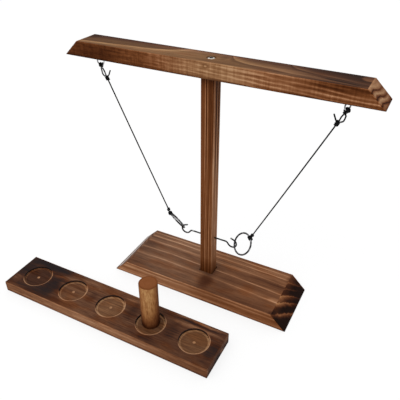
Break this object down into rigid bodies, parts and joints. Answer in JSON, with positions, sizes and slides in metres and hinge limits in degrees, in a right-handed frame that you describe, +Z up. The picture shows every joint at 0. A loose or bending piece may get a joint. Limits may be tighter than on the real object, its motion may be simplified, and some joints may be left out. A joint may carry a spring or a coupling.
{
  "type": "ring toss game",
  "caption": "Wooden T-shaped stand with cord-hung rings that players swing onto hooks in its post, and a loose tray with round recesses and a round peg.",
  "frame": {"origin": "on the table, at the middle of the footprint of stand and tray together", "axes": "+Z up, +X along the crossbar to the right as the player sees it, -Y towards the player and the tray"},
  "size_m": [0.4524, 0.2046, 0.339],
  "materials": {
    "stained_wood": "dark torched stain",
    "post_wood": "stained, fine straight grain",
    "peg_wood": "golden stain",
    "plated_steel": "bright plated",
    "zinc_alloy": "cast",
    "black_cord": "braided"
  },
  "bodies": {
    "stand": {"base_board": "stained_wood", "post": "post_wood", "crossbar": "stained_wood", "crossbar_bolt": "plated_steel", "base_bolt": "plated_steel", "crossbar_insert": "zinc_alloy", "base_insert": "zinc_alloy", "left_hook": "plated_steel", "left_screw_eye": "plated_steel", "left_eye_knot": "black_cord", "right_hook": "plated_steel", "right_screw_eye": "plated_steel", "right_eye_knot": "black_cord"},
    "left_tether": {"left_cord": "black_cord", "left_cord_return": "black_cord", "left_loop_knot": "black_cord", "left_ring_hitch": "black_cord", "left_ring_knot": "black_cord", "left_ring": "plated_steel"},
    "right_tether": {"right_cord": "black_cord", "right_cord_return": "black_cord", "right_loop_knot": "black_cord", "right_ring_hitch": "black_cord", "right_ring_knot": "black_cord", "right_ring": "plated_steel"},
    "tray": {"tray": "stained_wood"},
    "peg": {"peg": "peg_wood"}
  },
  "joints": [
    {"name": "left_cord_swing", "type": "hinge", "parent": "stand", "child": "left_tether", "pos_m": [-0.1331, 0.05675, 0.3065], "axis": [0.184, -0.532, -0.8265], "range_deg": [0, 314]},
    {"name": "right_cord_swing", "type": "hinge", "parent": "stand", "child": "right_tether", "pos_m": [0.1859, 0.05675, 0.3065], "axis": [-0.184, 0.532, -0.8265], "range_deg": [0, 314]},
    {"name": "tray_slide", "type": "slide", "parent": "stand", "child": "tray", "axis": [0, -1, 0], "range_m": [-0.04, 0.1]},
    {"name": "peg_lift", "type": "slide", "parent": "tray", "child": "peg", "axis": [0, 0, 1], "range_m": [0, 0.06]}
  ]
}
